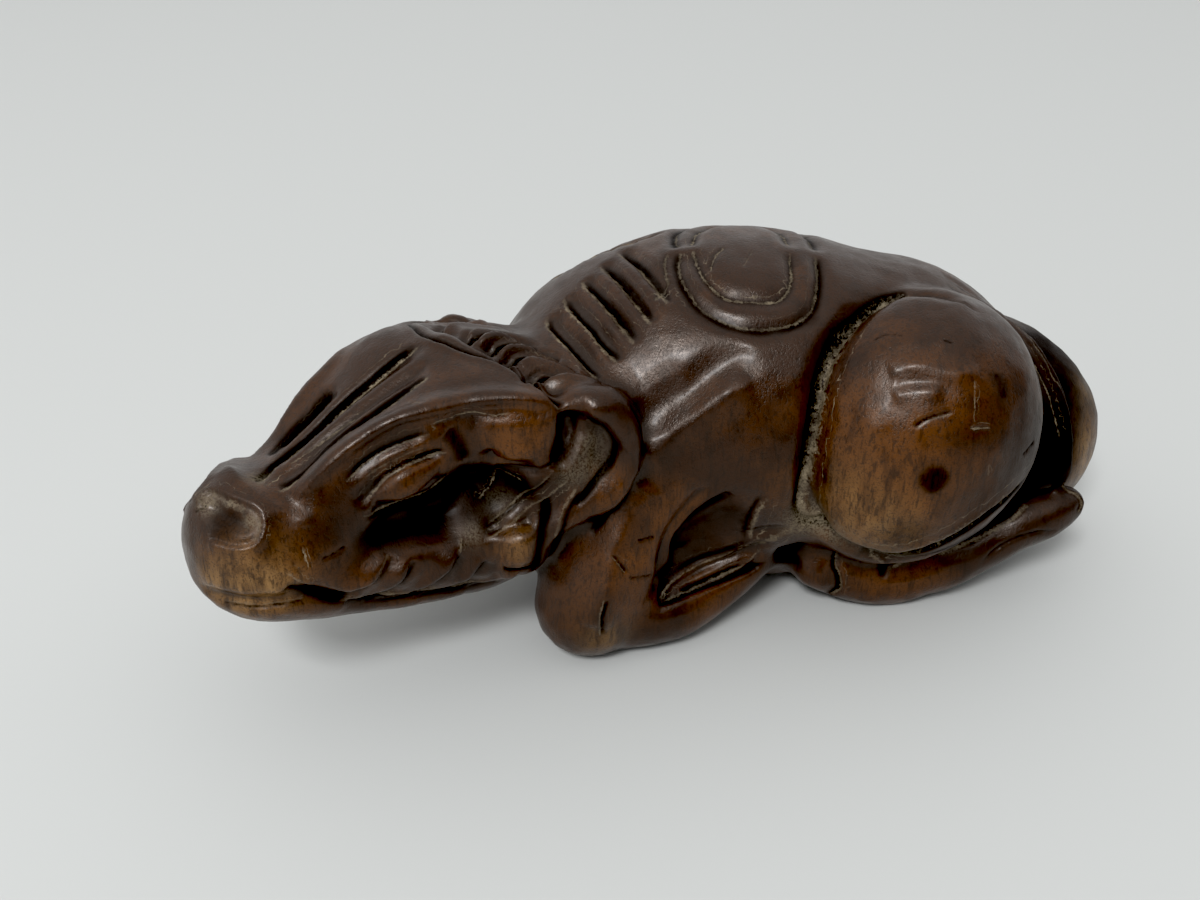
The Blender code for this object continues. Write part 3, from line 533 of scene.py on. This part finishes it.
def legForms():
    return [
        # back edge of the foreleg, the ridge down its knee and one from the shoulder over the side
        mark([(7.4, -8.8, 11.8), (6.2, -9, 10.7), (5, -9.1, 9.4), (4.2, -9.3, 8.1), (3.9, -8.7, 5.8),
              (3.5, -9.4, 4.6), (3.3, -10.4, 3.7)], 0.4, step=-0.3, depth=0.08, dark=0.75, darkAt=-0.5,
             darkWidth=0.5),
        mark([(2.3, -10.3, 12.1), (1.5, -11.1, 10.5), (0.7, -11.8, 8.8), (0.6, -12.4, 7.3),
              (-0.1, -12.7, 5.8), (-0.6, -12.7, 4.2)], 0.6, depth=-0.12),
        mark([(3.4, -9.0, 14.9), (5.1, -8.8, 16.0), (6.7, -8.4, 17.3), (7.9, -8.0, 17.8),
              (10.7, -7.1, 18.9)], 0.4, depth=-0.08, fade=0.4),
    ]


def legCuts():
    return [
        # the folded foot, as cuts with ridges between them
        mark([(3.3, -10.5, 3.5), (4.9, -9.6, 3.5), (6.8, -8.7, 3.6), (8.6, -7.8, 4.1), (10.2, -7.2, 5.0)],
             0.16, depth=0.24, dark=0.95, darkWidth=0.2),
        mark([(3.5, -9.9, 3.9), (4.4, -8.9, 4.6), (6.0, -7.9, 5.1), (7.6, -7.5, 5.7), (9.4, -8.0, 6.9)],
             0.2, depth=-0.16, dust=0.55, dustWidth=0.08, dark=0.8, darkAt=-0.38, darkWidth=0.24),
        mark([(4.8, -9.2, 3.9), (6.5, -8.3, 4.3), (8.7, -7.5, 5.0)], 0.14, depth=0.2, dark=0.95,
             darkWidth=0.15),
        mark([(3.6, -10.2, 3.8), (5.5, -9.0, 3.9), (7.2, -8.0, 4.2), (8.6, -7.5, 4.8), (9.9, -7.6, 6.2)],
             0.16, depth=-0.12, dust=0.5, dustWidth=0.09),
        # where the foot meets the belly and the thigh
        mark([(9.7, -9.3, 11.1), (9.3, -8.8, 9.8), (9.1, -8.2, 8.2), (9.1, -8.0, 7.2)], 0.2, depth=-0.14,
             dust=0.9, dustWidth=0.14, dark=0.8, darkAt=0.42, darkWidth=0.2, fade=0.25),
        mark([(11.9, -8.8, 9.3), (11.3, -8.6, 8.2), (10.4, -8.1, 7.3), (9.2, -7.6, 6.5)], 0.3, dust=0.7,
             dustWidth=0.26, fade=0.2),
        mark([(14.3, -7.6, 4.8), (14.8, -7.4, 2.8), (14.5, -6.6, 0.9)], 0.16, depth=0.26, dust=0.6,
             dustAt=-0.06, dustWidth=0.12, dark=0.95, darkAt=0.12, darkWidth=0.2),
        # a hole under the belly, painted black as shade
        mark([(11.9, -6.8, 5.6), (12.1, -6.8, 4.0)], 0.5, depth=0.3, dark=1.0, darkWidth=0.7, fade=0),
        # nicks on the knee
        mark([(0.7, -11.8, 8.9), (1.5, -11.9, 7.7)], 0.1, depth=0.12, dust=0.6, dustAt=0.1, dustWidth=0.05,
             dark=0.8),
        mark([(1.6, -11.9, 7.3), (2.4, -11.4, 7.0), (3.1, -10.8, 6.7)], 0.08, depth=0.08, dark=0.8),
        mark([(2.1, -11.2, 9.4), (3.2, -10.6, 9.3)], 0.08, depth=0.1, dark=0.9),
        mark([(0.4, -12.7, 6.3), (0.1, -12.8, 5.0), (0.2, -12.7, 3.5)], 0.12, depth=0.14, dark=0.95,
             dust=0.5, dustAt=0.18, dustWidth=0.06),
    ]


def boxwoodStainsAndShade(points):
    # Dark stain with painted shade, dust, bared wood and warmer wood apart from the strokes' own, as spots
    # of (place, radius, amount).
    def face(*spots):
        return [(onHead(place)[0], radius, amount) for place, radius, amount in spots]

    dark = spread(points, [
        ((11.9, -4.9, 20.8), 0.9, 0.6), ((5.9, -5.0, 21.0), 0.8, 0.5),
        ((17.6, -11.2, 9.8), 1.7, 0.5), ((-2.1, -12.0, 14.8), 1.7, 0.45),
        # the first three on the face: painted shade in the hollow behind the eye, by the ear
        *face(((4.3, 4.4, -5.3), 1.6, 0.92), ((2.6, 5.8, -4.8), 1.3, 0.8), ((5.6, 5.0, -5.2), 1.5, 0.6),
              ((16.6, 3.3, -1.6), 0.5, 0.3), ((17.4, 2.1, -1.3), 1.2, 0.7), ((-1.5, 7.9, -2.2), 0.8, 0.5),
              ((-2.0, 0.5, 0.8), 2.0, 0.3), ((-2.2, 5, 0), 1.6, 0.3), ((13.0, 4.6, -2.6), 1.0, 0.35)),
        # painted shade in the hollow of the belly behind the foreleg and in the hole under it
        ((7.0, -9.0, 9.0), 2.2, 0.5), ((5.4, -9.2, 6.6), 1.6, 0.6), ((11.9, -6.8, 5.0), 1.2, 0.95),
        # the cleft between the haunches: stain, with painted shade on the inner side of the far haunch
        ((28.0, 0.5, 13), 4.8, 0.92), ((28.5, -1, 8), 3.2, 0.9), ((30.0, 3.5, 14), 3.5, 0.6),
        ((28.4, -3.4, 11.0), 2.4, 0.9),
        ((24.8, -8.8, 14.5), 3.4, 0.45), ((21.5, -10.6, 11.2), 2.2, 0.45)], 3.0)
    knot = spread(points, [((18.5, -11.3, 13.9), 1.0, 0.8)], 9.0)  # the round spot on the haunch
    dust = spread(points, [
        ((12.4, -8.8, 9.0), 1.3, 0.75), ((13.8, -9.3, 8.2), 1.2, 0.7), ((15.6, -9.6, 7.6), 1.1, 0.45),
        ((17.4, -10.0, 7.4), 1.0, 0.3),
        *face(((15.1, 0.9, -0.4), 0.6, 0.5), ((-1.3, 7.9, -3.0), 0.7, 0.4), ((-0.9, 7.7, -4.2), 0.9, 0.45),
              ((0.3, 7.5, -4.5), 0.7, 0.35), ((17.8, 0.8, -0.4), 0.55, 0.7), ((16.4, 3.0, -1.2), 0.4, 0.6),
              ((5.8, 5.2, -6.9), 0.6, 0.4), ((3.6, 5.0, -6.0), 0.8, 0.2))])
    worn = spread(points, [
        *face(((17.6, 4.0, -4.4), 2.0, 0.9), ((18.9, 2.6, -4.6), 1.6, 0.6), ((3.6, 6.4, -8.1), 1.1, 0.5)),
        ((14.6, -10.8, 11.0), 2.6, 0.4), ((16.5, -11.2, 10.0), 2.2, 0.35), ((31.7, 2.2, 11.5), 1.3, 0.8),
        ((31.8, 0.6, 8.4), 1.5, 0.9), ((32.2, 1.0, 6.6), 1.5, 0.9), ((0.3, -12.2, 3.0), 1.4, 0.4)])
    warm = spread(points, [
        *face(((16.5, 4.2, -3.6), 3.4, 0.9), ((2.3, 6.4, -1.6), 2.0, 1.0), ((3.6, 6.3, -8.0), 1.5, 0.8),
              ((-2.4, 8.3, -6.0), 1.8, 0.7), ((9.5, 4.6, -0.6), 1.8, 0.6), ((7.0, 5.0, -0.2), 1.6, 0.6),
              ((8.6, 4.8, -2.0), 1.2, 0.7), ((12.5, 5.0, -6.3), 2.2, 0.45)),
        ((16.6, -11.0, 12.6), 4.6, 1.0), ((14.4, -8.8, 16.5), 3.0, 0.7), ((18.5, -10.5, 18.0), 3.0, 0.5),
        ((2.2, -11.2, 8.0), 2.4, 0.8),
        ((2.0, -11.4, 5.0), 2.2, 0.8), ((4.0, -9.8, 11.2), 2.4, 0.6), ((6.5, -8.8, 2.6), 2.6, 0.6),
        ((19.0, -7.5, 4.0), 4.0, 0.6), ((31.5, 1.5, 9), 3.0, 0.5),
        ((22.0, 11.5, 9.0), 4.6, 0.8), ((4.5, 9.5, 9.0), 3.4, 0.6), ((12.0, 10.5, 13.0), 3.6, 0.4)])
    return {"dust": dust, "dark": np.maximum(dark, knot), "worn": worn, "warm": warm}


def evenNormals(mesh, edges):  # the mesh's normals, each taken together with those around it
    normals = evenOut(readNormals(mesh), edges, ox["normalRounds"])
    return normals / np.linalg.norm(normals, axis=1)[:, None]


def carveOx():
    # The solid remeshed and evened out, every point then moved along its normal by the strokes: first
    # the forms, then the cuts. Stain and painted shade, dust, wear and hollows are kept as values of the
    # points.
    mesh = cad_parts[solidNode].data.copy()
    carving = bpy.data.objects.new("ox", mesh)
    bpy.context.scene.collection.objects.link(carving)
    applied(carving, "WELD", merge_threshold=1e-6)
    applied(carving, "REMESH", mode="VOXEL", voxel_size=ox["voxel"] * markSize)
    mesh = carving.data
    edges = readEdges(mesh)
    points = toMarks(readPoints(mesh))
    print("remeshed", len(points), "points")
    points = evenOut(points, edges, ox["facetRounds"], inward=0.5, outward=0.52)
    softSpots = [(onHead(place, side=side)[0], radius, ox["cheekEvenness"])
                 for place, radius in softCheek for side in (1, -1)]
    softSpots += [(place, radius, ox["backEvenness"]) for place, radius in softBack]
    even = evenOut(points, edges, ox["softRounds"], inward=0.5, outward=0.3)
    points += spread(points, softSpots, 4)[:, None] * (even - points)
    random = np.random.default_rng(ox["handSeed"])
    unevenness = handWorked(points, random, ox["unevenness"], ox["waves"])
    points += evenNormals(mesh, edges) * unevenness[:, None]
    dark, dust = np.zeros(len(points)), np.zeros(len(points))
    dustLine = np.full(len(points), farOff)
    forms = [*onCheek(faceForms(), 1), *onCheek(faceForms(), -1), *haunchForms(), *legForms()]
    cuts = [*onCheek(faceCuts(), 1), *onCheek(faceCuts(), -1), *crownCuts(), *flankCuts(-1), *flankCuts(1),
            *seenBackCuts(), *haunchCuts(), *legCuts()]
    for strokes in (forms, cuts):
        writePoints(mesh, points)
        normals = evenNormals(mesh, edges)
        tree = BVHTree.FromObject(carving, bpy.context.evaluated_depsgraph_get())
        lift, moreDark, moreDust, moreLine = cutStrokes(points, normals, tree, strokes, random)
        points = points + normals * lift[:, None]
        dark = np.maximum(dark, moreDark)
        nearer = np.abs(moreLine) < np.abs(dustLine)
        dust, dustLine = np.where(nearer, moreDust, dust), np.where(nearer, moreLine, dustLine)
        print("carved", len(strokes), "strokes")
    points[:, 2] = np.maximum(points[:, 2], marks["centre"][2])  # none below the floor
    writePoints(mesh, points)
    normals = readNormals(mesh)
    broad = evenOut(points, edges, ox["broadRounds"])
    cavity = ((broad - points) * normals).sum(axis=1)  # above 0 in a hollow, below 0 on a ridge
    cavity = evenOut(cavity[:, None], edges, 2)[:, 0]
    stainsAndShade = boxwoodStainsAndShade(points)
    stainsAndShade["dark"] = np.maximum(stainsAndShade["dark"], dark)
    for name, values in {**stainsAndShade, "cavity": cavity, "dustInLine": dust, "dustLine": dustLine}.items():
        kept = mesh.attributes.new(name, "FLOAT", "POINT")
        kept.data.foreach_set("value", values.astype(np.float32))
    writePoints(mesh, toFrame(points))
    triangles = 2 * len(mesh.polygons)
    applied(carving, "DECIMATE", ratio=min(1.0, ox["triangles"] / triangles))
    carving.data.shade_smooth()
    print("thinned to", len(carving.data.polygons), "faces")
    return carving


boxwood = {
    "deep": (0.0085, 0.0036, 0.0018),
    "brown": (0.023, 0.0082, 0.0030),
    "amber": (0.100, 0.034, 0.0058),
    "tan": (0.30, 0.17, 0.062),
    # black of stain, and of the painted shade in holes, gaps and hollows
    "stainAndShade": (0.0040, 0.0032, 0.0028),
    "dust": (0.25, 0.205, 0.14),
    "sheen": (1.0, 0.87, 0.77),  # tint of what it mirrors
    "gloss": (0.30, 0.46),  # roughness where most and least polished
    "mirror": (0.5, 0.12),  # how much it mirrors where clean, and where stained, dusty or painted with shade
    "coat": (0.14, 0.0),  # where clean and where there is stain and painted shade
    "coatRoughness": 0.2,
    "bump": (0.4, 0.00005),  # strength, and depth in metres
    # patterns, each as spots to the metre, detail and roughness
    "patches": (190, 5, 0.6),
    "polish": (620, 4, 0.6),
    "streaks": (1100, 4, 0.6),
    "broken": (1500, 3, 0.7),
    "ragged": (3000, 4, 0.75),
    "speckle": (4200, 2, 0.5),
    "fibres": (5200, 2, 0.5),
    "grit": (7600, 2, 0.7),
}


class Nodes:  # small helper to add and link shader nodes
    def __init__(self, material):
        material.use_nodes = True
        self.tree = material.node_tree
        self.shader = self.tree.nodes["Principled BSDF"]

    def add(self, kind, **settings):
        node = self.tree.nodes.new("ShaderNode" + kind)
        for name, value in settings.items():
            setattr(node, name, value)
        return node

    def put(self, socket, value):
        if isinstance(value, bpy.types.NodeSocket):
            self.tree.links.new(value, socket)
        else:
            socket.default_value = value

    def attribute(self, name):
        return self.add("Attribute", attribute_name=name).outputs["Fac"]

    def math(self, operation, a, b=0.0, clamp=False):
        node = self.add("Math", operation=operation, use_clamp=clamp)
        self.put(node.inputs[0], a)
        self.put(node.inputs[1], b)
        return node.outputs[0]

    def blend(self, factor, a, b):  # sockets 6 and 7 are the two colours, and 2 is the blended one
        node = self.add("Mix", data_type="RGBA", clamp_factor=True)
        self.put(node.inputs[0], factor)
        self.put(node.inputs[6], (*a, 1.0) if isinstance(a, tuple) else a)
        self.put(node.inputs[7], (*b, 1.0) if isinstance(b, tuple) else b)
        return node.outputs[2]

    def ramp(self, value, low, high, start=0.0, end=1.0):
        node = self.add("MapRange", interpolation_type="SMOOTHSTEP")
        for socket, number in zip(node.inputs, (value, low, high, start, end)):
            self.put(socket, number)
        return node.outputs[0]

    def place(self, stretch=(1, 1, 1), turn=(0, 0, 0)):
        where = self.add("TexCoord").outputs["Object"]
        node = self.add("Mapping")
        self.put(node.inputs["Vector"], where)
        node.inputs["Scale"].default_value = stretch
        node.inputs["Rotation"].default_value = turn
        return node.outputs[0]

    def noise(self, where, size, detail, rough):
        node = self.add("TexNoise")
        self.put(node.inputs["Vector"], where)
        node.inputs["Scale"].default_value = size
        node.inputs["Detail"].default_value = detail
        node.inputs["Roughness"].default_value = rough
        return node.outputs["Fac"]


def boxwoodFinish():
    # Dark brown to amber wood with streaks along the grain, pale where bared, black where stained and where
    # shade is painted. Dust lies over it, and what is stained, painted with shade or dusty mirrors less.
    material = bpy.data.materials.new("boxwood")
    n = Nodes(material)
    names = ("dust", "dark", "worn", "warm", "cavity")
    dust, dark, worn, warm, cavity = (n.attribute(name) for name in names)
    dustInLine, dustLine = n.attribute("dustInLine"), n.attribute("dustLine")
    plain = n.place()
    alongGrain = n.place(stretch=(1, 1, 0.2), turn=(0.25, 0.15, 0))
    patches = n.noise(plain, *boxwood["patches"])
    streaks = n.noise(alongGrain, *boxwood["streaks"])
    fibres = n.noise(alongGrain, *boxwood["fibres"])
    speckle = n.noise(plain, *boxwood["speckle"])
    warmth = n.math("ADD", warm, n.ramp(patches, 0.35, 0.65, -0.35, 0.25), clamp=True)
    colour = n.blend(warmth, boxwood["brown"], boxwood["amber"])
    colour = n.blend(n.ramp(streaks, 0.48, 0.66, 0, 0.5), colour, boxwood["deep"])
    bared = n.math("MULTIPLY", worn, n.ramp(streaks, 0.72, 0.36, 0.1, 1.0), clamp=True)
    colour = n.blend(bared, colour, boxwood["tan"])
    colour = n.blend(n.ramp(fibres, 0.52, 0.66, 0, 0.55), colour, boxwood["deep"])
    grit = n.noise(plain, *boxwood["grit"])
    colour = n.blend(n.ramp(grit, 0.50, 0.66, 0, 0.55), colour, boxwood["deep"])
    colour = n.blend(n.ramp(cavity, 0.01, 0.12, 0, 0.8), colour, boxwood["deep"])
    # stain and painted shade, from the dark value
    stainAndShadeMask = n.math("MULTIPLY", dark, n.ramp(patches, 0.3, 0.6, 0.8, 1.1), clamp=True)
    colour = n.blend(n.math("MULTIPLY", stainAndShadeMask, 0.95), colour, boxwood["stainAndShade"])
    ragged = n.noise(plain, *boxwood["ragged"])
    fromLine = n.math("ADD", n.math("ABSOLUTE", dustLine), n.ramp(ragged, 0.3, 0.7, -0.8, 1.2))
    broken = n.ramp(n.noise(plain, *boxwood["broken"]), 0.36, 0.54, 0.3, 1.0)
    lined = n.math("MULTIPLY", dustInLine, n.ramp(fromLine, 0.3, 1.5, 1.0, 0.0))
    lined = n.math("MULTIPLY", lined, n.math("MULTIPLY", broken, n.ramp(grit, 0.34, 0.62, 0.5, 1.0)))
    dusted = n.math("MULTIPLY", dust, n.ramp(grit, 0.36, 0.60, 0.1, 1.0))
    dusty = n.math("MAXIMUM", lined, dusted, clamp=True)
    colour = n.blend(dusty, colour, boxwood["dust"])
    n.put(n.shader.inputs["Base Color"], colour)
    polish = n.ramp(n.noise(plain, *boxwood["polish"]), 0.3, 0.7, *boxwood["gloss"])
    dull = n.math("MAXIMUM", n.math("MULTIPLY", dusty, 0.5), n.math("MULTIPLY", stainAndShadeMask, 0.3))
    rough = n.math("ADD", polish, dull, clamp=True)
    n.put(n.shader.inputs["Roughness"], rough)
    grimeAndShade = n.math("MAXIMUM", dusty, stainAndShadeMask)
    n.put(n.shader.inputs["Specular IOR Level"], n.ramp(grimeAndShade, 0.2, 0.9, *boxwood["mirror"]))
    n.shader.inputs["IOR"].default_value = 1.5
    n.shader.inputs["Specular Tint"].default_value = (*boxwood["sheen"], 1.0)
    n.shader.inputs["Coat Tint"].default_value = (*boxwood["sheen"], 1.0)
    n.put(n.shader.inputs["Coat Weight"], n.ramp(stainAndShadeMask, 0.2, 0.9, *boxwood["coat"]))
    n.shader.inputs["Coat Roughness"].default_value = boxwood["coatRoughness"]
    bump = n.add("Bump")
    bump.inputs["Strength"].default_value, bump.inputs["Distance"].default_value = boxwood["bump"]
    height = n.math("ADD", n.math("MULTIPLY", streaks, 0.6), n.math("MULTIPLY", speckle, 0.7))
    height = n.math("SUBTRACT", height, n.ramp(grit, 0.50, 0.66, 0, 0.3))
    height = n.math("SUBTRACT", height, n.ramp(fibres, 0.52, 0.66, 0, 0.35))
    n.put(bump.inputs["Height"], height)
    n.put(n.shader.inputs["Normal"], bump.outputs["Normal"])
    return material


stage = {
    "floorSize": 1.6,
    "floorColour": (0.575, 0.58, 0.56, 1.0),
    "floorRoughness": 0.7,
    "window": {"place": (-0.14, -0.38, 0.47), "size": (0.16, 0.12), "power": 2.3,
               "colour": (0.95, 0.97, 1.0)},
    "skyColour": (0.97, 0.985, 1.0, 1.0),
    "brightSide": (-0.707, 0.707, 0.9),
    "domeEdge": (-0.4, -0.05),  # where the dome turns from dark to bright, along its bright side
    "dome": (0.07, 0.86),  # dark and bright
    "blackLevel": 0.017,
    "eyeHeight": 33.0,  # degrees above the floor
    "eyeDistance": 84.0,  # marks
    "aim": (0.0, 0.0, 8.4),
    "fieldOfView": 50.0,
}


def addFloor():
    half = stage["floorSize"] / 2
    mesh = bpy.data.meshes.new("floor")
    corners = [(-half, -half, 0), (half, -half, 0), (half, half, 0), (-half, half, 0)]
    mesh.from_pydata(corners, [], [(0, 1, 2, 3)])
    floor = bpy.data.objects.new("floor", mesh)
    bpy.context.scene.collection.objects.link(floor)
    material = bpy.data.materials.new("floor")
    n = Nodes(material)
    n.shader.inputs["Base Color"].default_value = stage["floorColour"]
    n.shader.inputs["Roughness"].default_value = stage["floorRoughness"]
    mesh.materials.append(material)


def addLamp(name, place, size, power, colour):
    lamp = bpy.data.lights.new(name, "AREA")
    lamp.shape = "RECTANGLE"
    lamp.size, lamp.size_y = size
    lamp.energy = power
    lamp.color = colour
    thing = bpy.data.objects.new(name, lamp)
    bpy.context.scene.collection.objects.link(thing)
    thing.location = place
    thing.rotation_euler = Vector(place).to_track_quat("Z", "Y").to_euler()


def addCamera():
    lens = bpy.data.cameras.new("camera")
    lens.sensor_width = 36
    lens.lens = lens.sensor_width / 2 / tan(radians(stage["fieldOfView"]) / 2)
    lens.clip_start = 0.001
    camera = bpy.data.objects.new("camera", lens)
    bpy.context.scene.collection.objects.link(camera)
    rise = radians(stage["eyeHeight"])
    back = Vector((0, -cos(rise), sin(rise)))
    aim = Vector(toFrame(stage["aim"]).tolist())
    camera.location = aim + back * stage["eyeDistance"] * markSize
    camera.rotation_euler = back.to_track_quat("Z", "Y").to_euler()
    bpy.context.scene.camera = camera


def setLights():
    # A soft dome: bright above, behind and to the left, dark low in front and to the right.
    addLamp("window", **stage["window"])
    world = bpy.data.worlds.new("studio")
    bpy.context.scene.world = world
    world.use_nodes = True
    nodes, links = world.node_tree.nodes, world.node_tree.links
    sky = nodes["Background"]
    way = nodes.new("ShaderNodeTexCoord")
    towards = nodes.new("ShaderNodeVectorMath")
    towards.operation = "DOT_PRODUCT"
    towards.inputs[1].default_value = stage["brightSide"]
    dome = nodes.new("ShaderNodeMapRange")
    dome.interpolation_type = "SMOOTHSTEP"
    names = ("From Min", "From Max", "To Min", "To Max")
    for name, value in zip(names, (*stage["domeEdge"], *stage["dome"])):
        dome.inputs[name].default_value = value
    links.new(way.outputs["Generated"], towards.inputs[0])
    links.new(towards.outputs["Value"], dome.inputs["Value"])
    links.new(dome.outputs["Result"], sky.inputs["Strength"])
    sky.inputs["Color"].default_value = stage["skyColour"]


def setPicture():  # keeps the deep shadows dark
    picture = bpy.context.scene.view_settings
    picture.view_transform = "Standard"
    picture.use_curve_mapping = True
    picture.curve_mapping.black_level = 3 * (stage["blackLevel"],)
    picture.curve_mapping.update()


carving = carveOx()
carving.data.materials.clear()
carving.data.materials.append(boxwoodFinish())
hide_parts(solidNode)
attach(carving, "root")
addFloor()
addCamera()
setLights()
setPicture()
print("dressed")
